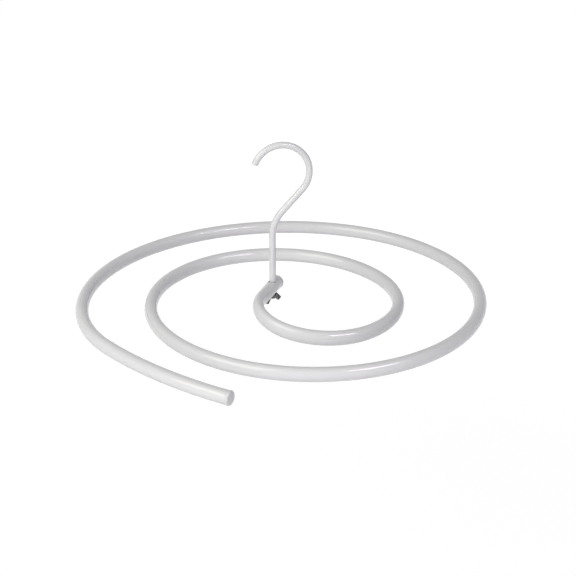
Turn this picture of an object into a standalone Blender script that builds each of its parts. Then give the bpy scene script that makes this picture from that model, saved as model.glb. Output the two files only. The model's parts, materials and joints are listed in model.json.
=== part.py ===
"""Spiral sheet hanger: a coated steel tube bent into a flat spiral of a little over two turns, with a
plastic plug in each end, hung from a rod hook. The hook's threaded stud passes down through the tube
near its inner end, where a washer and a wing nut hold it. With the nut slackened, the hook swivels.

Units are metres and degrees, +Z is up. The origin is the inside top of the hook's crook, where a rail
bears, and the crook lies in the XZ plane, so that the rail runs along Y.
"""

import math

import bmesh
import bpy
from mathutils import Matrix, Vector

# Tube
TUBE_DIAMETER = 0.016
TUBE_WALL = 0.0008
INNER_STRAIGHT = 0.0527
# The outer turns bend to about this radius. The bend's radius at evenly spaced stages of its turn, from
# the inner end outwards, is these shares of it.
BEND_RADIUS = 0.200
BEND_RADIUS_SHARES = (
    *(0.226, 0.296, 0.450, 0.544, 0.768, 0.724, 0.737),
    *(0.954, 0.991, 1.053, 1.097, 1.262, 1.189, 0.865),
)
BEND_TURN = 780.0
# A bend draws the tube narrower, by this length over the bend's radius as a share, and as much taller.
# That starts this much before the first bend.
BEND_NARROWING = 0.0087
NARROWING_EASE = 0.030
# The gently curved tail past the bend
TAIL_LENGTH = 0.1812
TAIL_RADIUS = 0.510
# The tube leaves the hook at this angle from +X and then turns anticlockwise, seen from above
START_HEADING = 239.7
# The inner end stands this much above the outer turns, and sinks to them over this much of the turn
INNER_RISE = 0.016
RISE_TURN = 150.0

# End plugs
PLUG_DIAMETER = 0.0168
PLUG_FLANGE = 0.003
PLUG_ROUNDING = 0.0024
PLUG_SPIGOT = 0.008
PLUG_WALL = 0.0016
PLUG_LEAD_IN = 0.0008
PLUG_CLEARANCE = 0.0003

# Hook
ROD_DIAMETER = 0.008
CROOK_INSIDE_RADIUS = 0.029
CROOK_SWEEP = 201.0
LEAN_ANGLE = 42.5
LEAN_LENGTH = 0.035
LOWER_BEND_RADIUS = 0.044
# From the tube's centre line up to the lower bend
ROD_RISE = 0.0651
ROD_TIP_ROUNDING = 0.001
SHOULDER_CHAMFER = 0.0003
# From the tube's inner end to the hook's axis
HOOK_SETBACK = 0.0135
ROD_HOLE_CLEARANCE = 0.0004
# The rod's hole in the top of the tube is a slot, which reaches this much further along the tube
SLOT_REACH = 0.0028

# Threaded stud, a turned-down end of the rod
THREAD_DIAMETER = 0.005
THREAD_DEPTH = 0.0005
THREAD_PITCH = 0.0008
# Where the root and the crest of the thread begin and end, as shares of the pitch
ROOT_SHARES = (0.0, 0.2)
CREST_SHARES = (0.5, 0.7)
STUD_CLEARANCE = 0.0003
STUD_END = 0.0008
SEAT_GAP = 0.0003

# Washer
WASHER_DIAMETER = 0.010
WASHER_THICKNESS = 0.001

# Wing nut
NUT_BASE_DIAMETER = 0.0095
NUT_FOOT_DIAMETER = 0.0080
NUT_HUB_HEIGHT = 0.005
NUT_CLEARANCE = 0.0002
WING_SPAN = 0.0274
WING_DROP = 0.0112
WING_THICKNESS = 0.0022
WING_CORNER = 0.0015
WING_EDGE = 0.0005
# Only edges that turn by more than this are rounded by WING_EDGE
WING_EDGE_ANGLE = 60.0
# The wings' angle from +X when the nut is tight
WING_HEADING = 35.0
# A wing's corners: shares of half the span, out from the axis, and of the drop below the washer
WING_OUTLINE_SHARES = ((0.20, 0.05), (0.46, 0.02), (1.00, 0.73), (0.61, 1.00), (0.20, 0.30))

# How far a cutter reaches past what it cuts
OVERRUN = 0.002

# Fineness of the meshes
TUBE_SIDES = 16
ROD_SIDES = 12
TURNED_SIDES = 24
THREAD_SIDES = 12
BEND_STEP = 7.0
TAIL_STEP = 0.030
CROOK_STEP = 8.0
ROUNDING_STEPS = 3
STEPS_BETWEEN_RINGS = 10
SMOOTH_ANGLE = 35.0

# Sizes that follow from those above
TUBE_RADIUS = TUBE_DIAMETER / 2
BORE_RADIUS = TUBE_RADIUS - TUBE_WALL
ROD_RADIUS = ROD_DIAMETER / 2
THREAD_RADIUS = THREAD_DIAMETER / 2
CROOK_RADIUS = CROOK_INSIDE_RADIUS + ROD_RADIUS
LEAN = math.radians(LEAN_ANGLE)

UP = Vector((0, 0, 1))
ACROSS = Vector((0, 1, 0))

# The hook's shape places the stud: the crook's centre is under the origin, and the lean brings the rod back
CROOK_CENTRE = Vector((0, 0, -CROOK_INSIDE_RADIUS))
LEAN_TOP = CROOK_CENTRE + CROOK_RADIUS * Vector((math.cos(LEAN), 0, -math.sin(LEAN)))
LEAN_BOTTOM = LEAN_TOP - LEAN_LENGTH * Vector((math.sin(LEAN), 0, math.cos(LEAN)))
LOWER_BEND_CENTRE = LEAN_BOTTOM + LOWER_BEND_RADIUS * Vector((math.cos(LEAN), 0, -math.sin(LEAN)))
STUD_X = LOWER_BEND_CENTRE.x - LOWER_BEND_RADIUS
# The hook's axis, at the height of the tube's centre line
TUBE_CROSSING = Vector((STUD_X, 0, LOWER_BEND_CENTRE.z - ROD_RISE))

# Heights on the hook's axis, measured from the tube's centre line there. The rod's flat shoulder rests
# in the round bore, so its rim touches before its middle does.
SHOULDER_Z = -math.sqrt(BORE_RADIUS**2 - ROD_RADIUS**2) + SEAT_GAP
WASHER_TOP_Z = -TUBE_RADIUS - SEAT_GAP
NUT_TOP_Z = WASHER_TOP_Z - WASHER_THICKNESS - SEAT_GAP
STUD_FOOT_Z = NUT_TOP_Z - NUT_HUB_HEIGHT - STUD_END


def clear_scene():
    for old in list(bpy.data.objects):
        bpy.data.objects.remove(old, do_unlink=True)


def material(name, colour, roughness, metallic):
    made = bpy.data.materials.new(name)
    made.use_nodes = True
    shader = made.node_tree.nodes["Principled BSDF"]
    shader.inputs["Base Color"].default_value = (*colour, 1.0)
    shader.inputs["Roughness"].default_value = roughness
    shader.inputs["Metallic"].default_value = metallic
    return made


def finish_object(name, bm, made_of=None):
    """Turns a bmesh into an object with its faces outwards, smooth but for its sharp edges."""
    bmesh.ops.recalc_face_normals(bm, faces=bm.faces)
    mesh = bpy.data.meshes.new(name)
    bm.to_mesh(mesh)
    bm.free()
    mesh.shade_smooth()
    mesh.set_sharp_from_angle(angle=math.radians(SMOOTH_ANGLE))
    obj = bpy.data.objects.new(name, mesh)
    bpy.context.scene.collection.objects.link(obj)
    if made_of:
        mesh.materials.append(made_of)
    return obj


def helper(obj):
    """Marks an object that only shapes another one."""
    obj.hide_render = True
    obj.display_type = "WIRE"
    return obj


def boolean(obj, other, operation):
    step = obj.modifiers.new(other.name, "BOOLEAN")
    step.operation = operation
    step.solver = "EXACT"
    step.object = other


def ring(bm, centre, along, level, radius, sides, narrowing=0):
    """A closed ring of points round the centre, square to along, whose first point lies towards level.
    It can be narrowed by a share, which makes it as much taller towards level."""
    side = along.cross(level).normalized()
    first = side.cross(along) * (1 + narrowing)
    side *= 1 - narrowing
    points = []
    for i in range(sides):
        angle = math.tau * i / sides
        points.append(bm.verts.new(centre + radius * (math.cos(angle) * first + math.sin(angle) * side)))
    return points


def bridge(bm, ring_a, ring_b):
    for i in range(len(ring_a)):
        j = (i + 1) % len(ring_a)
        bm.faces.new((ring_a[i], ring_a[j], ring_b[j], ring_b[i]))


def bridge_all(bm, rings):
    for ring_a, ring_b in zip(rings, rings[1:]):
        bridge(bm, ring_a, ring_b)


def directions(centres):
    """The direction of travel at each point of a path: the mean of the two stretches that meet there."""
    stretches = [(b - a).normalized() for a, b in zip(centres, centres[1:])]
    before = [stretches[0]] + stretches
    after = stretches + [stretches[-1]]
    return [(a + b).normalized() for a, b in zip(before, after)]


def turned(name, profile, sides, closed=False, made_of=None):
    """A solid turned about Z from (radius, height) pairs: capped at both ends, or closed on itself."""
    bm = bmesh.new()
    rings = [ring(bm, height * UP, UP, ACROSS, radius, sides) for radius, height in profile]
    bridge_all(bm, rings)
    if closed:
        bridge(bm, rings[-1], rings[0])
    else:
        bm.faces.new(rings[0])
        bm.faces.new(rings[-1])
    return finish_object(name, bm, made_of)


def rounded_corner(radius, height, rounding):
    """(radius, height) pairs round an outer corner, from its side to its top."""
    pairs = []
    for i in range(ROUNDING_STEPS + 1):
        angle = math.pi / 2 * i / ROUNDING_STEPS
        pairs.append((radius - rounding * (1 - math.cos(angle)), height - rounding * (1 - math.sin(angle))))
    return pairs


def bend_radius(share):
    """The bend's radius at this share of its turn, changing evenly from each stage to the next."""
    stages = list(zip(BEND_RADIUS_SHARES, BEND_RADIUS_SHARES[1:]))
    place = share * len(stages)
    stage = min(math.floor(place), len(stages) - 1)
    before, after = stages[stage]
    return BEND_RADIUS * (before + (place - stage) * (after - before))


def height_at(turned_by):
    """Height over the tube's start, which falls smoothly to the level of the outer turns."""
    share = min(turned_by / RISE_TURN, 1)
    return -INNER_RISE * share**2 * (3 - 2 * share)


def heading_vector(degrees):
    return Vector((math.cos(math.radians(degrees)), math.sin(math.radians(degrees)), 0))


def spiral_path():
    """The tube's centre line, from its inner end outwards, measured from the hook's axis, and the share by
    which the tube is narrowed at each of its points."""
    ahead = heading_vector(START_HEADING)
    starts = (0, INNER_STRAIGHT - NARROWING_EASE, INNER_STRAIGHT)
    centres = [(start - HOOK_SETBACK) * ahead for start in starts]
    place = centres[-1].copy()
    narrowings = [0, 0, BEND_NARROWING / bend_radius(0)]
    rings = math.ceil(BEND_TURN / BEND_STEP)
    small_turn = BEND_TURN / rings / STEPS_BETWEEN_RINGS
    for i in range(rings * STEPS_BETWEEN_RINGS):
        turn = (i + 0.5) * small_turn
        radius = bend_radius(turn / BEND_TURN)
        place += radius * math.radians(small_turn) * heading_vector(START_HEADING + turn)
        if (i + 1) % STEPS_BETWEEN_RINGS == 0:
            centres.append(place + height_at(turn + small_turn / 2) * UP)
            narrowings.append(BEND_NARROWING / radius)
    steps = math.ceil(TAIL_LENGTH / TAIL_STEP)
    tail_turn = math.degrees(TAIL_LENGTH / TAIL_RADIUS)
    for i in range(steps):
        heading = START_HEADING + BEND_TURN + (i + 0.5) * tail_turn / steps
        centres.append(centres[-1] + TAIL_LENGTH / steps * heading_vector(heading))
        narrowings.append(0)
    return centres, narrowings


def make_slot_cutter(ahead):
    """A bar for cutting the rod's slot: round, with its front half moved ahead."""
    bm = bmesh.new()
    radius = ROD_RADIUS + ROD_HOLE_CLEARANCE
    rings = [ring(bm, height * UP, UP, ahead, radius, TURNED_SIDES) for height in (0, TUBE_RADIUS + OVERRUN)]
    quarter = TURNED_SIDES // 4
    for points in rings:
        for point in points[-quarter:] + points[: quarter + 1]:
            point.co += SLOT_REACH * ahead
    bridge_all(bm, rings)
    bm.faces.new(rings[0])
    bm.faces.new(rings[-1])
    return helper(finish_object("rod_slot_cutter", bm))


def make_spiral_tube(centres, narrowings, coated_steel):
    """The hollow tube, with the hook's two holes on its axis: a round one below, and a slot above."""
    bm = bmesh.new()
    aims = directions(centres)
    walls = []
    for radius in (TUBE_RADIUS, BORE_RADIUS):
        rings = []
        for centre, aim, narrowing in zip(centres, aims, narrowings):
            rings.append(ring(bm, centre, aim, UP, radius, TUBE_SIDES, narrowing))
        bridge_all(bm, rings)
        walls.append(rings)
    outside, inside = walls
    bridge(bm, outside[0], inside[0])
    bridge(bm, outside[-1], inside[-1])
    tube = finish_object("spiral_tube", bm, coated_steel)
    tube.location = TUBE_CROSSING

    stud_hole = THREAD_RADIUS + STUD_CLEARANCE
    profile = ((stud_hole, -TUBE_RADIUS - OVERRUN), (stud_hole, 0))
    drill = helper(turned("stud_hole_drill", profile, TURNED_SIDES))
    for cutter in (drill, make_slot_cutter(aims[0])):
        cutter.location = TUBE_CROSSING
        boolean(tube, cutter, "DIFFERENCE")
    return tube


def make_end_plug(name, tube, end, outwards, white_plastic):
    """A push-in plug: a flange with a rounded edge, a little wider than the tube, on a hollow spigot."""
    spigot = BORE_RADIUS - PLUG_CLEARANCE
    profile = [
        (spigot - PLUG_WALL, PLUG_CLEARANCE),
        (spigot - PLUG_WALL, -PLUG_SPIGOT),
        (spigot - PLUG_LEAD_IN, -PLUG_SPIGOT),
        (spigot, PLUG_LEAD_IN - PLUG_SPIGOT),
        (spigot, PLUG_CLEARANCE),
        (PLUG_DIAMETER / 2, PLUG_CLEARANCE),
        *rounded_corner(PLUG_DIAMETER / 2, PLUG_CLEARANCE + PLUG_FLANGE, PLUG_ROUNDING),
    ]
    plug = turned(name, profile, TUBE_SIDES, made_of=white_plastic)
    side = UP.cross(outwards).normalized()
    turn = Matrix((side, outwards.cross(side), outwards)).transposed()
    plug.parent = tube
    plug.matrix_local = Matrix.LocRotScale(end, turn.to_quaternion(), None)
    return plug


def hook_centres():
    """The rod's centre line, from its shoulder inside the tube up to the tip of the crook."""
    centres = [TUBE_CROSSING + SHOULDER_Z * UP, TUBE_CROSSING + (SHOULDER_Z + SHOULDER_CHAMFER) * UP]
    steps = math.ceil(LEAN_ANGLE / CROOK_STEP)
    for i in range(steps + 1):
        angle = LEAN * i / steps
        centres.append(LOWER_BEND_CENTRE + LOWER_BEND_RADIUS * Vector((-math.cos(angle), 0, math.sin(angle))))
    steps = math.ceil(CROOK_SWEEP / CROOK_STEP)
    for i in range(steps + 1):
        angle = math.radians(CROOK_SWEEP) * i / steps - LEAN
        centres.append(CROOK_CENTRE + CROOK_RADIUS * Vector((math.cos(angle), 0, math.sin(angle))))
    return centres


def make_thread_body():
    """The stud: a thread wound as a helical surface, cut flat at both ends."""
    top = SHOULDER_Z + OVERRUN
    shape = [(THREAD_RADIUS - THREAD_DEPTH, share) for share in ROOT_SHARES]
    shape += [(THREAD_RADIUS, share) for share in CREST_SHARES]
    # Spare turns reach past both cuts
    turns = math.ceil((top - STUD_FOOT_Z) / THREAD_PITCH) + 3
    start = STUD_FOOT_Z - 1.5 * THREAD_PITCH
    bm = bmesh.new()
    rows = []
    for turn in range(turns):
        for radius, share in shape:
            row = []
            for i in range(THREAD_SIDES):
                angle = math.tau * i / THREAD_SIDES
                height = start + (turn + share + i / THREAD_SIDES) * THREAD_PITCH
                row.append(bm.verts.new((radius * math.cos(angle), radius * math.sin(angle), height)))
            rows.append(row)
    for low in range(len(rows) - 1):
        for i in range(THREAD_SIDES - 1):
            bm.faces.new((rows[low][i], rows[low][i + 1], rows[low + 1][i + 1], rows[low + 1][i]))
    # The last side of a row meets the first side of the row one pitch above it
    for low in range(len(rows) - 1 - len(shape)):
        corners = (rows[low][-1], rows[low + len(shape)][0], rows[low + len(shape) + 1][0], rows[low + 1][-1])
        bm.faces.new(corners)
    for height, keep_below in ((STUD_FOOT_Z, False), (top, True)):
        everything = bm.verts[:] + bm.edges[:] + bm.faces[:]
        cut = bmesh.ops.bisect_plane(
            bm,
            geom=everything,
            plane_co=height * UP,
            plane_no=UP,
            clear_outer=keep_below,
            clear_inner=not keep_below,
        )
        rim = [piece for piece in cut["geom_cut"] if isinstance(piece, bmesh.types.BMEdge)]
        bmesh.ops.contextual_create(bm, geom=rim)
    return helper(finish_object("stud_thread", bm))


def make_hook_rod(coated_steel):
    """The rod hook with its stud, its shoulder chamfered and the tip of its crook rounded."""
    centres = hook_centres()
    aims = directions(centres)
    radii = [ROD_RADIUS - SHOULDER_CHAMFER] + [ROD_RADIUS] * len(centres[1:])
    tip, tip_aim = centres[-1], aims[-1]
    for radius, ahead in rounded_corner(ROD_RADIUS, ROD_TIP_ROUNDING, ROD_TIP_ROUNDING)[1:]:
        centres.append(tip + ahead * tip_aim)
        aims.append(tip_aim)
        radii.append(radius)
    bm = bmesh.new()
    rings = [ring(bm, *stop, ROD_SIDES) for stop in zip(centres, aims, [ACROSS] * len(aims), radii)]
    bridge_all(bm, rings)
    bm.faces.new(rings[0])
    bm.faces.new(rings[-1])
    rod = finish_object("hook_rod", bm, coated_steel)
    stud = make_thread_body()
    stud.location = TUBE_CROSSING
    boolean(rod, stud, "UNION")
    return rod


def make_washer(zinc_plate):
    """A plain washer under the tube, with its top face at the object's origin."""
    hole = THREAD_RADIUS + STUD_CLEARANCE
    rim = WASHER_DIAMETER / 2
    profile = ((hole, 0), (hole, -WASHER_THICKNESS), (rim, -WASHER_THICKNESS), (rim, 0))
    washer = turned("washer", profile, TURNED_SIDES, closed=True, made_of=zinc_plate)
    washer.location = TUBE_CROSSING + WASHER_TOP_Z * UP
    return washer


def make_wing(name, heading):
    """One wing, an upright blade that runs out and down from the hub, with its corners and edges rounded."""
    reach = WING_SPAN / 2
    bm = bmesh.new()
    corners = [(out * reach, -WING_THICKNESS / 2, -down * WING_DROP) for out, down in WING_OUTLINE_SHARES]
    face = bm.faces.new([bm.verts.new(corner) for corner in corners])
    made = bmesh.ops.extrude_face_region(bm, geom=[face])["geom"]
    bmesh.ops.translate(
        bm, verts=[v for v in made if isinstance(v, bmesh.types.BMVert)], vec=WING_THICKNESS * ACROSS
    )
    crossing = [edge for edge in bm.edges if edge.verts[0].co.xz == edge.verts[1].co.xz]
    outer = [edge for edge in crossing if edge.verts[0].co.x > NUT_BASE_DIAMETER / 2]
    bmesh.ops.bevel(bm, geom=outer, offset=WING_CORNER, segments=ROUNDING_STEPS, profile=0.5, affect="EDGES")
    wing = helper(finish_object(name, bm))
    edges = wing.modifiers.new("edges", "BEVEL")
    edges.width = WING_EDGE
    edges.segments = 1
    edges.limit_method = "ANGLE"
    edges.angle_limit = math.radians(WING_EDGE_ANGLE)
    wing.rotation_euler.z = math.radians(heading)
    return wing


def make_wing_nut(zinc_plate):
    """The wing nut hangs under the washer, with its bearing face at the object's origin."""
    hub = (
        (NUT_FOOT_DIAMETER / 2, -NUT_HUB_HEIGHT),
        (NUT_BASE_DIAMETER / 2, -WING_EDGE),
        (NUT_BASE_DIAMETER / 2 - WING_EDGE, 0),
    )
    nut = turned("wing_nut", hub, TURNED_SIDES, made_of=zinc_plate)
    nut.location = TUBE_CROSSING + NUT_TOP_Z * UP
    nut.rotation_euler.z = math.radians(WING_HEADING)
    for name, heading in (("near_wing", 180), ("far_wing", 0)):
        wing = make_wing(name, heading)
        wing.parent = nut
        boolean(nut, wing, "UNION")
    bore = THREAD_RADIUS + NUT_CLEARANCE
    tap = helper(turned("nut_bore_drill", ((bore, -WING_DROP - OVERRUN), (bore, OVERRUN)), TURNED_SIDES))
    tap.parent = nut
    boolean(nut, tap, "DIFFERENCE")
    return nut


def main():
    clear_scene()
    coated_steel = material("coated_steel", (0.84, 0.84, 0.85), 0.22, 0.0)
    white_plastic = material("white_plastic", (0.80, 0.80, 0.81), 0.42, 0.0)
    zinc_plate = material("zinc_plate", (0.30, 0.30, 0.31), 0.38, 1.0)

    centres, narrowings = spiral_path()
    aims = directions(centres)
    tube = make_spiral_tube(centres, narrowings, coated_steel)
    make_end_plug("inner_end_plug", tube, centres[0], -aims[0], white_plastic)
    make_end_plug("outer_end_plug", tube, centres[-1], aims[-1], white_plastic)
    make_hook_rod(coated_steel)
    make_washer(zinc_plate)
    make_wing_nut(zinc_plate)


main()
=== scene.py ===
# %% [markdown]
# Spiral sheet hanger.
# The real one is a steel tube with a white gloss coating, bent into a flat spiral of a little over two
# turns. A rod hook holds it near its inner end, and a wing nut under the tube clamps the hook. Wet
# sheets are hung along the turns, so that air reaches both sides.
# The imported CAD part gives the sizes, the places and the joints. Its solids are faceted, so this script
# models each piece again by hand, finer, in the same place, and gives it its finish. We start by loading
# the part, because every piece here rides on one of its bodies.

import json
import math

import bpy
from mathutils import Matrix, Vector


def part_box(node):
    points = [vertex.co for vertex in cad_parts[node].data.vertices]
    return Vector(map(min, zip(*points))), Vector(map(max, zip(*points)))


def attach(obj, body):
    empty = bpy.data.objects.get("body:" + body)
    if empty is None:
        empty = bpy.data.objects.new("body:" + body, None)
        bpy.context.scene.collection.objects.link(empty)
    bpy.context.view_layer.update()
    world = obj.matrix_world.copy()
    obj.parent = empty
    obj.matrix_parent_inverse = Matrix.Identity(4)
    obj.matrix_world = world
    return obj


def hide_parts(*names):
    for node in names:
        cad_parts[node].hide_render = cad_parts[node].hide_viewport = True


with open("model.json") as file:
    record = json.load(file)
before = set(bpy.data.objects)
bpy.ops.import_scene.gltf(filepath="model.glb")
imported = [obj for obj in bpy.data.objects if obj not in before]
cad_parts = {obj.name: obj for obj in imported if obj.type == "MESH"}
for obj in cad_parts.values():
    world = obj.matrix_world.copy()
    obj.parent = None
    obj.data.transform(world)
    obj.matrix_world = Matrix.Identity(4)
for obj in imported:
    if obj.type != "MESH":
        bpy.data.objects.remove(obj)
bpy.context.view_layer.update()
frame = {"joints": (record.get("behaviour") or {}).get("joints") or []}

# %% [markdown]
# The camera comes first. The photograph looks down at the hanger by 24 degrees, from about a metre and a
# half away, and the hook is turned a little from it. A lens as long as this keeps the far turns nearly as
# wide as the near ones, as in the photograph. The photograph is square, so the sensor is too.

# %% Camera
CAMERA_DISTANCE = 1.58248
CAMERA_ELEVATION = math.radians(24.2157)
CAMERA_AZIMUTH = math.radians(-10.64)
LOOK_AT = Vector((0.01253, 0.02547, -0.18737))
LENS = 80.89
SENSOR = 36.0


def direction(azimuth, elevation):
    """Points from the hanger to the viewer: azimuth 0 is towards -Y, and it grows anticlockwise."""
    flat = Vector((math.sin(azimuth), -math.cos(azimuth), 0)) * math.cos(elevation)
    return flat + Vector((0, 0, math.sin(elevation)))


bpy.ops.object.select_all(action="DESELECT")
towards_camera = direction(CAMERA_AZIMUTH, CAMERA_ELEVATION)
bpy.ops.object.camera_add(location=LOOK_AT + CAMERA_DISTANCE * towards_camera)
camera = bpy.context.active_object
camera.rotation_euler = towards_camera.to_track_quat("Z", "Y").to_euler()
camera.data.lens = LENS
camera.data.sensor_width = SENSOR
bpy.context.scene.camera = camera
print("The camera stands at", [round(x, 3) for x in camera.location])

# %% [markdown]
# Sizes. The driving dimensions are those of the real pieces. Where the hook's axis crosses the tube comes
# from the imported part's swivel joint, so nothing has to be fitted by eye.

# %% Sizes of the tube and the hook
TUBE_RADIUS = 0.008
TUBE_WALL = 0.0008
INNER_STRAIGHT = 0.0527
HOOK_SETBACK = 0.0135
START_HEADING = 239.7
BEND_RADIUS = 0.200
BEND_RADIUS_SHARES = (
    *(0.226, 0.296, 0.450, 0.544, 0.768, 0.724, 0.737),
    *(0.954, 0.991, 1.053, 1.097, 1.262, 1.189, 0.865),
)
BEND_TURN = 780.0
BEND_NARROWING = 0.0087
NARROWING_EASE = 0.030
INNER_RISE = 0.016
RISE_TURN = 150.0
TAIL_LENGTH = 0.1812
TAIL_RADIUS = 0.510

ROD_RADIUS = 0.004
SLOT_RADIUS = 0.0044
SLOT_REACH = 0.0028
STUD_HOLE_RADIUS = 0.0028
CROOK_RADIUS = 0.033
CROOK_SWEEP = 201.0
LEAN_ANGLE = 42.5
LEAN_LENGTH = 0.035
LOWER_BEND_RADIUS = 0.044

UP = Vector((0, 0, 1))
ACROSS = Vector((0, 1, 0))

joints = {joint["name"]: joint for joint in frame["joints"]}
HOOK_AXIS = Vector(joints["hook_swivel"]["pos_m"])
print("The hook's axis crosses the tube at", [round(x, 4) for x in HOOK_AXIS])

# %% [markdown]
# Four short helpers do what a hand does between operators: start on a clean slate, begin with a ring,
# stretch the selected ring straight on, and finish a piece. Operators act on all that is selected, so the
# CAD nodes have to be deselected before anything is added.

# %% Modelling helpers
RING_SIDES = 64
SMOOTH_ANGLE = math.radians(35)


def select_only(*pieces):
    """Leaves edit mode with only these pieces selected. The first is the active one."""
    if bpy.context.mode != "OBJECT":
        bpy.ops.object.mode_set(mode="OBJECT")
    bpy.ops.object.select_all(action="DESELECT")
    for piece in reversed(pieces):
        piece.select_set(True)
        bpy.context.view_layer.objects.active = piece


def edit_all(piece):
    """Goes to edit mode with every point of this piece selected."""
    select_only(piece)
    bpy.ops.object.mode_set(mode="EDIT")
    bpy.ops.mesh.select_mode(type="VERT")
    bpy.ops.mesh.select_all(action="SELECT")


def start_ring(name, place, radius, facing, sides=RING_SIDES):
    """A circle across the direction that it faces, in edit mode with all of it selected."""
    select_only()
    turn = facing.to_track_quat("Z", "Y").to_euler()
    bpy.ops.mesh.primitive_circle_add(vertices=sides, radius=radius, location=place, rotation=turn)
    bpy.ops.object.transform_apply()
    ring = bpy.context.active_object
    ring.name = name
    edit_all(ring)
    return ring


def extrude(step):
    """Stretches what is selected by this step."""
    bpy.ops.mesh.extrude_region_move(TRANSFORM_OT_translate={"value": step})


def select_where(piece, wanted, kind="FACE"):
    """Goes to edit mode with only those faces, edges or points selected that wanted says yes to."""
    edit_all(piece)
    bpy.ops.mesh.select_mode(type=kind)
    bpy.ops.mesh.select_all(action="DESELECT")
    bpy.ops.object.mode_set(mode="OBJECT")
    elements = {"FACE": piece.data.polygons, "EDGE": piece.data.edges, "VERT": piece.data.vertices}[kind]
    chosen = [element for element in elements if wanted(element)]
    for element in chosen:
        element.select = True
    bpy.ops.object.mode_set(mode="EDIT")
    return len(chosen)


def turn_faces_out(piece):
    """Turns every face of the piece outwards, and goes back to object mode."""
    edit_all(piece)
    bpy.ops.mesh.normals_make_consistent(inside=False)
    select_only(piece)


def apply_modifier(piece, kind, **settings):
    """Adds a modifier with these settings and applies it."""
    select_only(piece)
    step = piece.modifiers.new(kind.title(), kind)
    for setting, value in settings.items():
        setattr(step, setting, value)
    bpy.ops.object.modifier_apply(modifier=step.name)


def cut(piece, cutter, operation="DIFFERENCE"):
    """Takes the cutter away from the piece, or joins the two, and removes the cutter."""
    apply_modifier(piece, "BOOLEAN", operation=operation, solver="EXACT", object=cutter)
    bpy.data.objects.remove(cutter)


def finish_piece(piece, body, node):
    """Smooths the piece, lets it ride on its body and stand for its CAD node, and prints its size."""
    turn_faces_out(piece)
    bpy.ops.object.shade_smooth_by_angle(angle=SMOOTH_ANGLE)
    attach(piece, body)
    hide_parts(node)
    sides = " x ".join(f"{1000 * side:.1f}" for side in piece.dimensions)
    print(piece.name, "rides on", body, "with", len(piece.data.polygons), "faces,", sides, "mm")


print("Rings have", RING_SIDES, "sides")

# %% [markdown]
# The spiral tube. A tube bender pushes a straight tube round a former whose radius changes bit by bit.
# Spin does the same to a ring: it stretches it on round a centre. So the tube is one ring, stretched
# straight for the inner end and then spun in short bends, each with its own radius, down to the outer
# turns' level. A curve with a round bevel would be quicker, but the spun rings show how the tube is bent,
# and they stand exactly across it. In a tight bend a real tube goes oval, narrower sideways and taller, so
# each ring is resized by as much as its bend asks for.

# %% Bend the tube
BEND_STEP = 3.0
TAIL_STEPS = 12
TAIL_EASE = 0.030
EASE_STEPS = 10


def heading_vector(degrees):
    return Vector((math.cos(math.radians(degrees)), math.sin(math.radians(degrees)), 0))


def bend_radius(share):
    """The bend's radius at this share of its turn, changing evenly from each stage to the next."""
    stages = list(zip(BEND_RADIUS_SHARES, BEND_RADIUS_SHARES[1:]))
    place = share * len(stages)
    stage = min(math.floor(place), len(stages) - 1)
    before, after = stages[stage]
    return BEND_RADIUS * (before + (place - stage) * (after - before))


def ease(share):
    """A smooth step from 0 to 1, as the share goes from 0 to 1."""
    share = min(share, 1)
    return share**2 * (3 - 2 * share)


def drop_at(turned_by):
    """How far the tube has sunk from its inner end, once it has turned by this much."""
    return INNER_RISE * ease(turned_by / RISE_TURN)


def bend(place, heading, turn, radius):
    """Spins the selected ring round a bend to its left, and says where it comes to."""
    centre = place + radius * heading_vector(heading + 90)
    bpy.ops.mesh.spin(steps=1, angle=math.radians(turn), center=centre, axis=-UP)
    return centre - radius * heading_vector(heading + turn + 90)


def narrow(place, before, after):
    """Changes the share by which the selected ring is narrowed. It gets as much taller."""
    across = (1 - after) / (1 - before)
    upright = (1 + after) / (1 + before)
    bpy.ops.transform.resize(value=(across, across, upright), center_override=place)
    return after


inner_end = HOOK_AXIS - HOOK_SETBACK * heading_vector(START_HEADING)
tube = start_ring("coated_tube", inner_end, TUBE_RADIUS, heading_vector(START_HEADING))
place = inner_end + (INNER_STRAIGHT - NARROWING_EASE) * heading_vector(START_HEADING)
extrude(place - inner_end)
narrowed = 0
for i in range(EASE_STEPS):
    step = NARROWING_EASE / EASE_STEPS * heading_vector(START_HEADING)
    extrude(step)
    place += step
    narrowed = narrow(place, narrowed, BEND_NARROWING / bend_radius(0) * ease((i + 1) / EASE_STEPS))
print("The first bend starts narrowed by", round(narrowed, 3))

for i in range(round(BEND_TURN / BEND_STEP)):
    turned_by = i * BEND_STEP
    radius = bend_radius((turned_by + BEND_STEP / 2) / BEND_TURN)
    place = bend(place, START_HEADING + turned_by, BEND_STEP, radius)
    sink = drop_at(turned_by + BEND_STEP) - drop_at(turned_by)
    if sink:
        bpy.ops.transform.translate(value=-sink * UP)
        place -= sink * UP
    narrowed = narrow(place, narrowed, BEND_NARROWING / radius)
print("The last bend ends narrowed by", round(narrowed, 3))

at_bend_end = narrowed
tail_turn = math.degrees(TAIL_LENGTH / TAIL_RADIUS)
for i in range(TAIL_STEPS):
    heading = START_HEADING + BEND_TURN + tail_turn * i / TAIL_STEPS
    place = bend(place, heading, tail_turn / TAIL_STEPS, TAIL_RADIUS)
    past_bend = (i + 1) * TAIL_LENGTH / TAIL_STEPS
    narrowed = narrow(place, narrowed, at_bend_end * (1 - ease(past_bend / TAIL_EASE)))
outer_end = place
end_heading = START_HEADING + BEND_TURN + tail_turn
print("The tube ends at", [round(x, 4) for x in outer_end], "heading", round(end_heading % 360, 1))

# %% [markdown]
# The tube is hollow, so Solidify gives the bent skin its wall, inwards, and marks the inner skin for a
# finish of its own, because the coating stays outside. Then the hook's holes are cut on its axis: a slot in
# the top wall that the rod passes, longer than the rod needs, and a round hole in the bottom wall for the
# stud, which leaves the rod a seat. A Boolean is the drill. The coating rounds the slot's rim, and a small
# bevel there catches the light as it does.

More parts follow.
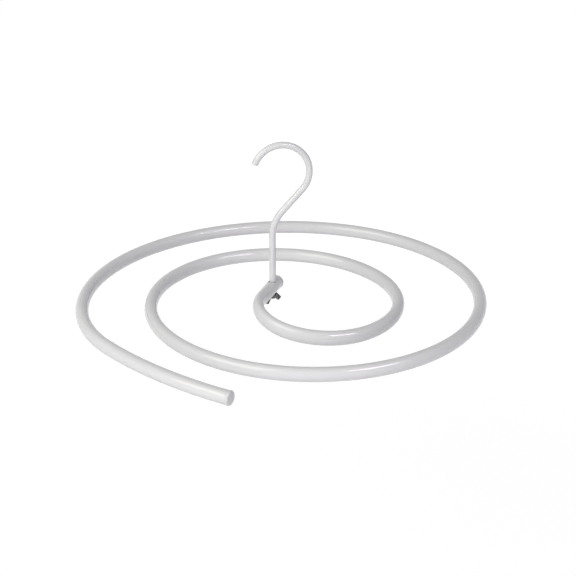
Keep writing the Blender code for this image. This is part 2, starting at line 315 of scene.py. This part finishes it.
# %% Give the tube its wall and drill it
DRILL_OVERRUN = 0.002
RIM_ROUNDING = 0.0002
RIM_STEPS = 3
RIM_SLACK = RIM_ROUNDING / 6

turn_faces_out(tube)
for _ in ("outside", "inside"):
    bpy.ops.object.material_slot_add()
apply_modifier(tube, "SOLIDIFY", thickness=TUBE_WALL, offset=-1, material_offset=1)

ahead = heading_vector(START_HEADING)
through = (TUBE_RADIUS + DRILL_OVERRUN) * UP
drill = start_ring("drill", HOOK_AXIS - through, STUD_HOLE_RADIUS, UP)
slot_cutter = start_ring("slot_cutter", HOOK_AXIS.copy(), SLOT_RADIUS, UP)
select_where(slot_cutter, lambda point: (point.co - HOOK_AXIS).dot(ahead) > 0, "VERT")
bpy.ops.transform.translate(value=SLOT_REACH * ahead)
for cutter in (drill, slot_cutter):
    edit_all(cutter)
    bpy.ops.mesh.edge_face_add()
    extrude(through)
    turn_faces_out(cutter)
    cut(tube, cutter)


def on_rim(edge):
    """Is this edge on the slot's outer rim?"""
    for end in edge.vertices:
        spot = tube.data.vertices[end].co - HOOK_AXIS
        along = spot.dot(ahead)
        from_axis = (spot - along * ahead).length
        from_slot = (spot - min(max(along, 0), SLOT_REACH) * ahead).xy.length
        at_slot = abs(from_slot - SLOT_RADIUS) < RIM_SLACK
        if not (at_slot and spot.z > 0 and abs(from_axis - TUBE_RADIUS) < RIM_SLACK):
            return False
    return True


def on_cut_end(edge):
    """Is this edge on the outside of the tube's cut ends?"""
    for end in edge.vertices:
        spot = tube.data.vertices[end].co
        from_inner, from_outer = spot - inner_end, spot - outer_end
        if abs(from_inner.dot(ahead)) < RIM_SLACK:
            out = from_inner.length
        elif abs(from_outer.dot(heading_vector(end_heading))) < RIM_SLACK:
            out = from_outer.length
        else:
            return False
        if abs(out - TUBE_RADIUS) > 3 * RIM_SLACK:
            return False
    return True


rim_edges = select_where(tube, on_rim, "EDGE")
bpy.ops.mesh.bevel(offset=RIM_ROUNDING, segments=RIM_STEPS, affect="EDGES")
cut_edges = select_where(tube, on_cut_end, "EDGE")
bpy.ops.mesh.bevel(offset=RIM_ROUNDING, segments=RIM_STEPS, affect="EDGES")
finish_piece(tube, "spiral", "spiral_tube")
print("The slot's rim had", rim_edges, "edges, and the cut ends", cut_edges)

# %% [markdown]
# The end plugs. Each is a moulded plastic plug with a flange a little wider than the tube and a hollow
# spigot that is pushed into the bore. Seen from outside it is a disc with a well rounded edge, and a fine
# groove between it and the tube. It starts as a ring at the tube's cut end: the flange is extruded outwards
# and capped, its rims are bevelled, and the spigot is inset from its inner face and extruded back into the
# tube.

# %% End plugs
PLUG_RADIUS = 0.0084
PLUG_FLANGE = 0.0033
PLUG_ROUNDING = 0.0024
PLUG_BACK_ROUNDING = 0.0003
PLUG_FIT = 0.0003
PLUG_SPIGOT = 0.008
PLUG_WALL = 0.0016
PLUG_GAP = 0.0003
BEVEL_STEPS = 6
FLAT_ENOUGH = math.cos(math.radians(1))


def faces_towards(piece, aim):
    """Selects the flat faces that look along this direction."""
    return select_where(piece, lambda face: face.normal.dot(aim) > FLAT_ENOUGH)


def make_plug(name, end, outwards, node):
    """A plug on the tube's end, facing outwards."""
    plug = start_ring(name, end + PLUG_GAP * outwards, PLUG_RADIUS, outwards)
    bpy.ops.mesh.edge_face_add()
    extrude((PLUG_FLANGE - PLUG_GAP) * outwards)
    turn_faces_out(plug)
    faces_towards(plug, outwards)
    bpy.ops.mesh.bevel(offset=PLUG_ROUNDING, segments=BEVEL_STEPS, affect="EDGES")
    faces_towards(plug, -outwards)
    bpy.ops.mesh.bevel(offset=PLUG_BACK_ROUNDING, segments=RIM_STEPS, affect="EDGES")
    faces_towards(plug, -outwards)
    spigot_radius = TUBE_RADIUS - TUBE_WALL - PLUG_FIT
    bpy.ops.mesh.inset(thickness=PLUG_RADIUS - PLUG_BACK_ROUNDING - spigot_radius)
    extrude(-PLUG_SPIGOT * outwards)
    bpy.ops.mesh.inset(thickness=PLUG_WALL)
    extrude(PLUG_SPIGOT * outwards)
    finish_piece(plug, "spiral", node)
    return plug


plugs = [
    make_plug("inner_plug", inner_end, -heading_vector(START_HEADING), "inner_end_plug"),
    make_plug("outer_plug", outer_end, heading_vector(end_heading), "outer_end_plug"),
]

# %% [markdown]
# The rod hook. It is one rod, coated white like the tube: straight up from the tube, bent back at the
# lean, and then round the crook that goes over a rail. Its arcs are true circles, so one spin makes each.
# The lower end is a flat shoulder that stands on the tube's bottom wall. The tip is cut square, and the
# coating rounds its edge. The coating stops where the rod goes into the tube, and the near-black foot below it
# is partly painted shade for the slot: there the rod is cut round by a bisect, and the faces below the cut are
# given a material slot of their own.

# %% Rod hook
CROOK_CENTRE = (ROD_RADIUS - CROOK_RADIUS) * UP
LOWER_BEND_STEPS = 16
CROOK_STEPS = 80
TIP_LENGTH = 0.001
TIP_ROUNDING = 0.00095
COAT_END = 0.0001
COAT_CUT_SLACK = 0.000001
SEAT_GAP = 0.0003

lean = math.radians(LEAN_ANGLE)
out_of_bend = Vector((math.sin(lean), 0, math.cos(lean)))
lean_top = CROOK_CENTRE + CROOK_RADIUS * Vector((math.cos(lean), 0, -math.sin(lean)))
lean_bottom = lean_top - LEAN_LENGTH * out_of_bend
lower_bend_centre = lean_bottom + LOWER_BEND_RADIUS * Vector((math.cos(lean), 0, -math.sin(lean)))
bore_radius = TUBE_RADIUS - TUBE_WALL
shoulder = HOOK_AXIS + (SEAT_GAP - math.sqrt(bore_radius**2 - ROD_RADIUS**2)) * UP

hook = start_ring("coated_hook", shoulder, ROD_RADIUS, UP, RING_SIDES // 2)
bpy.ops.mesh.edge_face_add()
extrude((lower_bend_centre.z - shoulder.z) * UP)
bpy.ops.mesh.spin(steps=LOWER_BEND_STEPS, angle=-lean, center=lower_bend_centre, axis=ACROSS)
extrude(LEAN_LENGTH * out_of_bend)
sweep = math.radians(CROOK_SWEEP)
bpy.ops.mesh.spin(steps=CROOK_STEPS, angle=sweep, center=CROOK_CENTRE, axis=ACROSS)
turn_faces_out(hook)
tip_aim = Vector((-math.sin(sweep - lean), 0, math.cos(sweep - lean)))
faces_towards(hook, tip_aim)
extrude(TIP_LENGTH * tip_aim)
bpy.ops.mesh.bevel(offset=TIP_ROUNDING, segments=BEVEL_STEPS, affect="EDGES")

edit_all(hook)
coat_end = HOOK_AXIS + (TUBE_RADIUS + COAT_END) * UP
bpy.ops.mesh.bisect(plane_co=coat_end, plane_no=UP, threshold=COAT_CUT_SLACK)
select_only(hook)
for _ in ("coated", "bare"):
    bpy.ops.object.material_slot_add()
select_where(hook, lambda face: face.center.z < coat_end.z)
hook.active_material_index = 1
bpy.ops.object.material_slot_assign()
finish_piece(hook, "hook", "hook_rod")
print("The shoulder stands", round(1000 * (HOOK_AXIS.z - shoulder.z), 1), "mm below the tube's middle")

# %% [markdown]
# The threaded stud. The rod's lower end is turned down and threaded, and it is bare metal. A screw thread
# is one small outline, root, flank, crest and flank, swept up round the axis by a pitch a turn, and the
# Screw modifier does just that. The outline is drawn from a single point, which is a plane merged at its
# centre. Its turns are joined to each other, cut flat at both ends, and turned to a chamfer at the foot by
# keeping only what a pointed blank shares with them.

# %% Threaded stud
THREAD_RADIUS = 0.0025
THREAD_DEPTH = 0.0005
THREAD_PITCH = 0.0008
THREAD_SIDES = 48
ROOT_SHARE = 0.2
CREST_SHARE = 0.2
FLANK_SHARE = 0.3
STUD_CHAMFER = 0.0004
STUD_FOOT = HOOK_AXIS.z - 0.0154
STUD_TOP = shoulder.z + 0.001
MERGE_DISTANCE = 0.000002


def start_point(name, place):
    """One selected point in edit mode, in an object whose centre is at this place."""
    select_only()
    bpy.ops.mesh.primitive_plane_add(size=THREAD_PITCH, location=place)
    piece = bpy.context.active_object
    piece.name = name
    edit_all(piece)
    bpy.ops.mesh.merge(type="CENTER")
    return piece


def apply_place(piece):
    """Puts the object's centre at the scene's origin and leaves its mesh where it is."""
    select_only(piece)
    bpy.ops.object.transform_apply()


thread_start = Vector((HOOK_AXIS.x, 0, STUD_FOOT - THREAD_PITCH))
stud = start_point("threaded_stud", thread_start - THREAD_PITCH * UP)
bpy.ops.transform.translate(value=(THREAD_RADIUS - THREAD_DEPTH, 0, 0))
for outwards, share in ((0, ROOT_SHARE), (1, FLANK_SHARE), (0, CREST_SHARE), (-1, FLANK_SHARE)):
    extrude((outwards * THREAD_DEPTH, 0, share * THREAD_PITCH))
turns = math.ceil((STUD_TOP - thread_start.z) / THREAD_PITCH) + 1
winding = {"angle": math.tau, "screw_offset": THREAD_PITCH, "iterations": turns}
apply_modifier(stud, "SCREW", steps=THREAD_SIDES, render_steps=THREAD_SIDES, **winding)
apply_place(stud)
edit_all(stud)
bpy.ops.mesh.remove_doubles(threshold=MERGE_DISTANCE)
for height, keep_below in ((STUD_FOOT - THREAD_PITCH / 2, False), (STUD_TOP, True)):
    bpy.ops.mesh.select_all(action="SELECT")
    ends = {"clear_outer": keep_below, "clear_inner": not keep_below, "use_fill": True}
    bpy.ops.mesh.bisect(plane_co=(0, 0, height), plane_no=UP, threshold=MERGE_DISTANCE, **ends)
turn_faces_out(stud)

foot = Vector((HOOK_AXIS.x, 0, STUD_FOOT))
blank = start_ring("blank", foot, THREAD_RADIUS - STUD_CHAMFER, UP)
bpy.ops.mesh.edge_face_add()
extrude(STUD_CHAMFER * UP)
point_out = (THREAD_RADIUS + MERGE_DISTANCE) / (THREAD_RADIUS - STUD_CHAMFER)
bpy.ops.transform.resize(value=(point_out, point_out, 1), center_override=foot)
extrude((STUD_TOP - STUD_FOOT) * UP)
turn_faces_out(blank)
cut(stud, blank, "INTERSECT")
finish_piece(stud, "hook", "hook_rod")
print("The thread has", turns, "turns of", 1000 * THREAD_PITCH, "mm")

# %% [markdown]
# The washer. A punched disc between the tube and the nut, of zinc-plated steel, with a soft edge. A ring is
# filled and extruded to the washer's thickness, both faces are inset to the hole, and the two faces that
# are left are bridged, which opens the hole.

# %% Washer
WASHER_RADIUS = 0.005
WASHER_THICKNESS = 0.001
WASHER_EDGE = 0.00015
washer_low, washer_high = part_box("washer")

below_tube = Vector((HOOK_AXIS.x, 0, washer_low.z))
washer = start_ring("zinc_washer", below_tube, WASHER_RADIUS, UP)
bpy.ops.mesh.edge_face_add()
extrude(WASHER_THICKNESS * UP)
turn_faces_out(washer)
select_where(washer, lambda face: abs(face.normal.z) > FLAT_ENOUGH)
bpy.ops.mesh.bevel(offset=WASHER_EDGE, segments=RIM_STEPS, affect="EDGES")
select_where(washer, lambda face: len(face.vertices) == RING_SIDES)
bpy.ops.mesh.inset(thickness=WASHER_RADIUS - WASHER_EDGE - STUD_HOLE_RADIUS)
bpy.ops.mesh.bridge_edge_loops()
finish_piece(washer, "washer", "washer")
under_tube = HOOK_AXIS.z - TUBE_RADIUS - washer_high.z
print("The washer lies", round(1000 * under_tube, 1), "mm under the tube")

# %% [markdown]
# The wing nut. It hangs under the washer with its two wings sloping outwards and down, so that fingers
# can turn it. The real one is cast, and every corner flows into the next. The hub is a tapered disc, and
# each wing is an outline drawn from a point, filled and extruded to its thickness. A Boolean joins them, a
# voxel remesh makes them one even skin, and smoothing that skin rounds every edge and fills the corners
# where the wings grow out of the hub. The bore is drilled last, so that it stays sharp.

# %% Wing nut
NUT_BASE_RADIUS = 0.00475
NUT_FOOT_RADIUS = 0.0040
NUT_HUB_HEIGHT = 0.0050
NUT_CORE_RADIUS = 0.00262
WING_REACH = 0.0137
WING_DROP = 0.0112
WING_THICKNESS = 0.0024
WING_CORNER = 0.0015
WING_HEADING = 35.0
WING_OUTLINE_SHARES = ((0.20, 0.05), (0.46, 0.02), (1.00, 0.73), (0.61, 1.00), (0.20, 0.30))
SKIN_SIZE = 0.00013
SKIN_SMOOTHING = {"factor": 0.5, "iterations": 10}
nut_low, nut_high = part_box("wing_nut")
nut_seat = Vector((HOOK_AXIS.x, 0, nut_high.z))

nut = start_ring("zinc_wing_nut", nut_seat, NUT_BASE_RADIUS, UP)
bpy.ops.mesh.edge_face_add()
extrude(-NUT_HUB_HEIGHT * UP)
taper = NUT_FOOT_RADIUS / NUT_BASE_RADIUS
bpy.ops.transform.resize(value=(taper, taper, 1), center_override=nut_seat - NUT_HUB_HEIGHT * UP)
turn_faces_out(nut)

for side in (-1, 1):
    corners = [Vector((side * out * WING_REACH, 0, -down * WING_DROP)) for out, down in WING_OUTLINE_SHARES]
    wing = start_point("wing", nut_seat)
    bpy.ops.transform.translate(value=corners[0] - WING_THICKNESS / 2 * ACROSS)
    for before, after in zip(corners, corners[1:]):
        extrude(after - before)
    bpy.ops.mesh.select_all(action="SELECT")
    bpy.ops.mesh.edge_face_add()
    extrude(WING_THICKNESS * ACROSS)
    turn_faces_out(wing)

    def is_outer_corner(edge):
        ends = [wing.data.vertices[end].co for end in edge.vertices]
        crosses = abs(ends[0].y - ends[1].y) > WING_THICKNESS / 2
        return crosses and abs(ends[0].x) > NUT_BASE_RADIUS

    select_where(wing, is_outer_corner, "EDGE")
    bpy.ops.mesh.bevel(offset=WING_CORNER, segments=BEVEL_STEPS, affect="EDGES")
    apply_place(wing)
    cut(nut, wing, "UNION")

select_only(nut)
nut.data.remesh_voxel_size = SKIN_SIZE
bpy.ops.object.voxel_remesh()
apply_modifier(nut, "SMOOTH", **SKIN_SMOOTHING)

bore = start_ring("bore", nut_seat - 2 * WING_DROP * UP, NUT_CORE_RADIUS, UP)
bpy.ops.mesh.edge_face_add()
extrude(3 * WING_DROP * UP)
turn_faces_out(bore)
cut(nut, bore)
edit_all(nut)
bpy.ops.mesh.remove_doubles(threshold=MERGE_DISTANCE)
select_only(nut)
turn = -math.radians(WING_HEADING)
bpy.ops.transform.rotate(value=turn, orient_axis="Z", center_override=nut_seat)
apply_place(nut)
finish_piece(nut, "wing_nut", "wing_nut")
print("The wings reach from", [round(x, 4) for x in nut_low], "to", [round(x, 4) for x in nut_high])

# %% [markdown]
# Now the finishes. Each is made of nodes, and two small classes keep them readable. A wire is a socket that
# can be used in a sum like a number, and each sum adds the Math node that it needs. A finish adds any
# other node and feeds its sockets. All patterns read Object coordinates, which are metres on the piece: so
# a grain has the same size on every piece, and it stays put when the piece moves.

# %% Shader helpers
MIX_SHARE, MIX_FIRST, MIX_SECOND, MIX_COLOUR = 0, 6, 7, 2
SOFT, EVEN, ROUGH, VERY_ROUGH = 1.0, 2.0, 3.0, 4.0


class Wire:
    """An output socket of a finish that can be used in sums."""

    def __init__(self, finish, socket):
        self.finish = finish
        self.socket = socket

    def math(self, operation, first, second):
        return self.finish.node("Math", {"operation": operation}, {0: first, 1: second})

    def __add__(self, other):
        return self.math("ADD", self, other)

    def __sub__(self, other):
        return self.math("SUBTRACT", self, other)

    def __rsub__(self, other):
        return self.math("SUBTRACT", other, self)

    def __mul__(self, other):
        return self.math("MULTIPLY", self, other)

    __radd__ = __add__
    __rmul__ = __mul__


class Finish:
    """The nodes of a material or of the world."""

    def __init__(self, owner):
        owner.use_nodes = True
        self.owner = owner
        self.tree = owner.node_tree
        self.tree.nodes.clear()

    def node(self, kind, settings=None, inputs=None, output=0):
        """Adds a node, sets it, feeds its sockets with values or wires, and gives one output."""
        added = self.tree.nodes.new("ShaderNode" + kind)
        for setting, value in (settings or {}).items():
            setattr(added, setting, value)
        for name, value in (inputs or {}).items():
            if isinstance(value, Wire):
                self.tree.links.new(value.socket, added.inputs[name])
            else:
                added.inputs[name].default_value = value
        return Wire(self, added.outputs[output]) if added.outputs else None

    def place(self):
        return self.node("TexCoord", output="Object")

    def grain(self, size, detail=EVEN):
        """Noise from 0 to 1 whose cells have this size in metres. Its detail goes from soft to very rough."""
        return self.node("TexNoise", {}, {"Vector": self.place(), "Scale": 1 / size, "Detail": detail})

    def rise(self, value, low, high):
        """0 where the value is below low, 1 above high, and a smooth step between."""
        limits = {"Value": value, "From Min": low, "From Max": high}
        return self.node("MapRange", {"interpolation_type": "SMOOTHSTEP"}, limits)

    def near(self, spot, reach):
        """1 at this spot, and 0 from this distance on."""
        ends = {0: self.place(), 1: spot}
        distance = self.node("VectorMath", {"operation": "DISTANCE"}, ends, "Value")
        return 1 - self.rise(distance, 0, reach)

    def blend(self, share, first, second):
        """The first colour where the share is 0, the second where it is 1."""
        sockets = {MIX_SHARE: share, MIX_FIRST: first, MIX_SECOND: second}
        return self.node("Mix", {"data_type": "RGBA"}, sockets, MIX_COLOUR)

    def skin(self, height, depth, **sockets):
        """Ends the material in a Principled shader whose bumps have this height and depth in metres."""
        bump = self.node("Bump", {}, {"Height": height, "Distance": depth})
        names = {name.replace("_", " ").title(): value for name, value in sockets.items()}
        shader = self.node("BsdfPrincipled", {}, {"Normal": bump, **names}, "BSDF")
        self.node("OutputMaterial", {}, {"Surface": shader})


def cover(finish, *pieces):
    """Gives the pieces this finish."""
    for piece in pieces:
        piece.data.materials.clear()
        piece.data.materials.append(finish.owner)
    print(finish.owner.name, "has", len(finish.tree.nodes), "nodes, on", len(pieces), "pieces")


# %% [markdown]
# The white coating. It is a thick gloss coat that is baked on, so it flows smooth but never flat: it has a
# faint orange peel, a few millimetres across and a few thousandths deep, which makes the highlights waver.
# Its white clouds over by a few parts in a hundred, and hands leave dull smudges. Where a rail bears, inside
# the top of the crook, it is rubbed a little grey. Round the hook's slot the same grey is painted shade.

# %% Coated steel
COAT_WHITE = (0.84, 0.84, 0.85, 1)
COAT_CLOUD = (0.815, 0.815, 0.83, 1)
# The grey of the rubbed coat inside the crook, also used as painted shade round the slot.
COAT_RUB_AND_SHADE = (0.60, 0.60, 0.60, 1)
COAT_ROUGHNESS = 0.10
SMUDGE_ROUGHNESS = 0.06
CLOUD_SIZE = 0.045
SMUDGE_SIZE = 0.014
SMUDGES_SHOW = (0.5, 0.75)
PEEL_SIZE = 0.004
PEEL_DEPTH = 0.000003
SCUFF_SIZE = 0.0011
SCUFFS_SHOW = (0.45, 0.65)
RUB_REACH = 0.009
# How far the painted shade reaches round the slot.
SLOT_SHADE_REACH = 0.006
RUB_AND_SHADE_SHARE = 0.35
RUB_ROUGHNESS = 0.4

coat = Finish(bpy.data.materials.new("white_coat"))
clouds = coat.grain(CLOUD_SIZE)
smudges = coat.rise(coat.grain(SMUDGE_SIZE, VERY_ROUGH), *SMUDGES_SHOW)
scuffs = coat.rise(coat.grain(SCUFF_SIZE, ROUGH), *SCUFFS_SHOW)
slot_top = HOOK_AXIS + TUBE_RADIUS * UP
# Inside the crook this is wear where a rail bears; round the slot it is painted shade.
wear_and_slot_shade = coat.near((0, 0, 0), RUB_REACH) + coat.near(slot_top, SLOT_SHADE_REACH)
rub_and_slot_shade = wear_and_slot_shade * scuffs * RUB_AND_SHADE_SHARE
colour = coat.blend(clouds, COAT_WHITE, COAT_CLOUD)
colour = coat.blend(rub_and_slot_shade, colour, COAT_RUB_AND_SHADE)
roughness = smudges * SMUDGE_ROUGHNESS + rub_and_slot_shade * RUB_ROUGHNESS + COAT_ROUGHNESS
peel = coat.grain(PEEL_SIZE, SOFT)
coat.skin(peel, PEEL_DEPTH, base_color=colour, roughness=roughness)
cover(coat, tube, hook)

# %% [markdown]
# Inside, the tube is bare steel as it came from the mill: nearly black, partly from scale and partly as
# painted shade, and brown where it has been damp. So is the rod's foot, inside the tube. Both only show in the
# slot beside the rod, as a dark gap. They are the second material slot of the tube and of the hook.

# %% Bare steel
# The near-black grey is partly mill scale and partly painted shade for the gap in the slot.
STEEL_SCALE_AND_SHADE = (0.030, 0.029, 0.030, 1)
STEEL_BLOOM = (0.035, 0.025, 0.018, 1)
STEEL_ROUGHNESS = 0.5
BLOOM_SIZE = 0.004
MILL_GRAIN_SIZE = 0.0006
MILL_GRAIN_DEPTH = 0.00001
BLOOM_SHOWS = (0.5, 0.7)

steel = Finish(bpy.data.materials.new("bare_steel_and_slot_shade"))
bloom = steel.rise(steel.grain(BLOOM_SIZE, VERY_ROUGH), *BLOOM_SHOWS)
mill_grain = steel.grain(MILL_GRAIN_SIZE, ROUGH)
colour = steel.blend(bloom, STEEL_SCALE_AND_SHADE, STEEL_BLOOM)
steel.skin(mill_grain, MILL_GRAIN_DEPTH, base_color=colour, roughness=STEEL_ROUGHNESS, metallic=1.0)
for piece in (tube, hook):
    piece.data.materials.append(steel.owner)
    print(piece.name, "has", [material.name for material in piece.data.materials])

# %% [markdown]
# The plugs are moulded plastic. They are nearly as white as the coat but duller, because the mould is finely
# eroded so that the plug lets go of it: a fine speckle in the bump. The flow of the plastic leaves faint
# clouds.

# %% Plug plastic
PLASTIC_WHITE = (0.84, 0.84, 0.84, 1)
PLASTIC_CLOUD = (0.80, 0.80, 0.81, 1)
PLASTIC_ROUGHNESS = 0.24
SPECKLE_SIZE = 0.00035
SPECKLE_DEPTH = 0.000012
SPECKLE_ROUGHNESS = 0.06
FLOW_SIZE = 0.006
FLOW_ROUGHNESS = 0.08

plastic = Finish(bpy.data.materials.new("moulded_plastic"))
flow = plastic.grain(FLOW_SIZE, ROUGH)
speckle = plastic.grain(SPECKLE_SIZE)
colour = plastic.blend(flow, PLASTIC_WHITE, PLASTIC_CLOUD)
roughness = flow * FLOW_ROUGHNESS + speckle * SPECKLE_ROUGHNESS + PLASTIC_ROUGHNESS
plastic.skin(speckle, SPECKLE_DEPTH, base_color=colour, roughness=roughness)
cover(plastic, *plugs)

# %% [markdown]
# The wing nut, the washer and the stud are zinc-plated steel that has dulled: grey metal with a blotchy
# sheen and fine cast pits. Their edges are nearly black, which is a painted dark reflection. Pointiness tells
# the edges from the flats.

# %% Dull zinc
ZINC_GREY = (0.20, 0.20, 0.21, 1)
ZINC_DARK = (0.055, 0.055, 0.06, 1)
# The near-black of the sharp edges, a painted dark reflection.
ZINC_EDGE_REFLECTION = (0.016, 0.016, 0.018, 1)
EDGE_REFLECTION_SHARE = 0.9
ZINC_ROUGHNESS = 0.34
PIT_SIZE = 0.0005
PIT_DEPTH = 0.00002
PIT_ROUGHNESS = 0.08
BLOTCH_SIZE = 0.003
BLOTCHES_SHOW = (0.35, 0.6)
BLOTCH_ROUGHNESS = 0.12
EDGES_SHOW = (0.505, 0.54)

zinc = Finish(bpy.data.materials.new("dull_zinc"))
blotches = zinc.rise(zinc.grain(BLOTCH_SIZE, ROUGH), *BLOTCHES_SHOW)
pits = zinc.grain(PIT_SIZE, ROUGH)
# The sharp edges are painted nearly black: a painted dark reflection.
edges = zinc.rise(zinc.node("NewGeometry", output="Pointiness"), *EDGES_SHOW)
colour = zinc.blend(blotches, ZINC_GREY, ZINC_DARK)
colour = zinc.blend(edges * EDGE_REFLECTION_SHARE, colour, ZINC_EDGE_REFLECTION)
roughness = blotches * BLOTCH_ROUGHNESS + pits * PIT_ROUGHNESS + ZINC_ROUGHNESS
zinc.skin(pits, PIT_DEPTH, base_color=colour, roughness=roughness, metallic=1.0)
cover(zinc, nut, washer, stud)

# %% [markdown]
# Light. The highlights on the tube tell where the lamps stood. A highlight lies where the tube's skin is a
# mirror between the lamp and the camera, so its two ends give the two edges of the lamp: a big soft box in
# front to the left, and a narrower one in front to the right, both about 40 degrees up. They are crisp, so
# they need the boxes' real sizes. Between them the tube is evenly pale and has no highlight: that is a very
# wide, weak fill in front, which is kept out of the gloss. The right box does the reverse: its streak is
# crisp, but the tube beside it isn't brighter, so it only shows in the gloss. A low fill behind keeps the
# hanger white from the back too, where the photograph doesn't look. Each lamp's strength is given as the
# brightness that it lends a white card that faces it, and its power follows from its distance.

# %% Lamps
LAMP_DISTANCE = 2.2
LAMPS = {
    "left_box": {"turn": -53.5, "height": 41, "size": (1.56, 1.25), "light": 0.415},
    "right_box": {"turn": 44, "height": 42, "size": (1.14, 0.40), "light": 0.39},
    "front_fill": {"turn": 0, "height": 13, "size": (6.0, 2.0), "light": 0.89},
    "back_fill": {"turn": 155, "height": -5, "size": (5.0, 0.6), "light": 0.42},
}
LAMP_COLOURS = {
    "left_box": (1.0, 1.0, 0.91),
    "right_box": (0.95, 0.90, 1.0),
    "front_fill": (1.0, 0.995, 1.0),
    "back_fill": (1.0, 1.0, 1.0),
}
ONLY_GLOSS = ("right_box",)
ONLY_MATT = ("front_fill", "back_fill")

for name, lamp in LAMPS.items():
    aim = direction(CAMERA_AZIMUTH + math.radians(lamp["turn"]), math.radians(lamp["height"]))
    select_only()
    bpy.ops.object.light_add(type="AREA", location=LOOK_AT + LAMP_DISTANCE * aim)
    box = bpy.context.active_object
    box.name = name
    box.rotation_euler = aim.to_track_quat("Z", "Y").to_euler()
    box.data.shape = "RECTANGLE"
    box.data.size, box.data.size_y = lamp["size"]
    box.data.color = LAMP_COLOURS[name]
    box.data.energy = lamp["light"] * (math.pi * LAMP_DISTANCE) ** 2
    box.visible_camera = False
    box.visible_diffuse = name not in ONLY_GLOSS
    box.visible_glossy = name not in ONLY_MATT
    print(name, "has", round(box.data.energy, 1), "watts")

# %% [markdown]
# The room. The world lights the hanger evenly from all sides, weakly, with a touch of violet.
# To the camera, and to rays that gloss sends on, it is plain white, as the photograph's background is.
# The floor is a plain pale sheet well below the hanger, and is white in the same way. A part of its white
# comes from the lamps, more of it under the hanger than further out, so that it still takes a faint shadow.

# %% World and floor
ROOM_LIGHT = (0.182, 0.175, 0.196, 1)
WHITE = (1, 1, 1, 1)
FLOOR_HEIGHT = -0.70
FLOOR_SIZE = 14.0
FLOOR_BOUNCE = (0.66, 0.65, 0.66, 1)
FLOOR_SEEN = (0.35, 0.35, 0.35, 1)
FLOOR_GLOW = (0.82, 0.82, 0.82, 1)
FAR_FLOOR_SEEN = (0.2, 0.2, 0.2, 1)
FAR_FLOOR_GLOW = (0.96, 0.96, 0.96, 1)
FLOOR_REACH = 2.4
BLACK = (0, 0, 0, 1)


def seen(finish):
    """1 for rays that show the background, and 0 for rays that only bring light."""
    rays = [finish.node("LightPath", output=f"Is {kind} Ray") for kind in ("Camera", "Glossy", "Transmission")]
    return finish.node("Clamp", {}, {"Value": rays[0] + rays[1] + rays[2]})


bpy.context.scene.world = bpy.data.worlds.new("pale_room")
room = Finish(bpy.context.scene.world)
backdrop = room.node("Background", {}, {"Color": room.blend(seen(room), ROOM_LIGHT, WHITE)})
room.node("OutputWorld", {}, {"Surface": backdrop})

select_only()
bpy.ops.mesh.primitive_plane_add(size=FLOOR_SIZE, location=(0, 0, FLOOR_HEIGHT))
floor = bpy.context.active_object
floor.name = "floor"
apply_place(floor)
sheet = Finish(bpy.data.materials.new("pale_sheet"))
shows = seen(sheet)
below = sheet.near((0, 0, FLOOR_HEIGHT), FLOOR_REACH)
seen_matt = sheet.blend(below, FAR_FLOOR_SEEN, FLOOR_SEEN)
seen_glow = sheet.blend(below, FAR_FLOOR_GLOW, FLOOR_GLOW)
matt = sheet.node("BsdfDiffuse", {}, {"Color": sheet.blend(shows, FLOOR_BOUNCE, seen_matt)})
glow = sheet.node("Emission", {}, {"Color": sheet.blend(shows, BLACK, seen_glow)})
both = sheet.node("AddShader", {}, {0: matt, 1: glow})
sheet.node("OutputMaterial", {}, {"Surface": both})
cover(sheet, floor)

bpy.context.scene.view_settings.view_transform = "Standard"
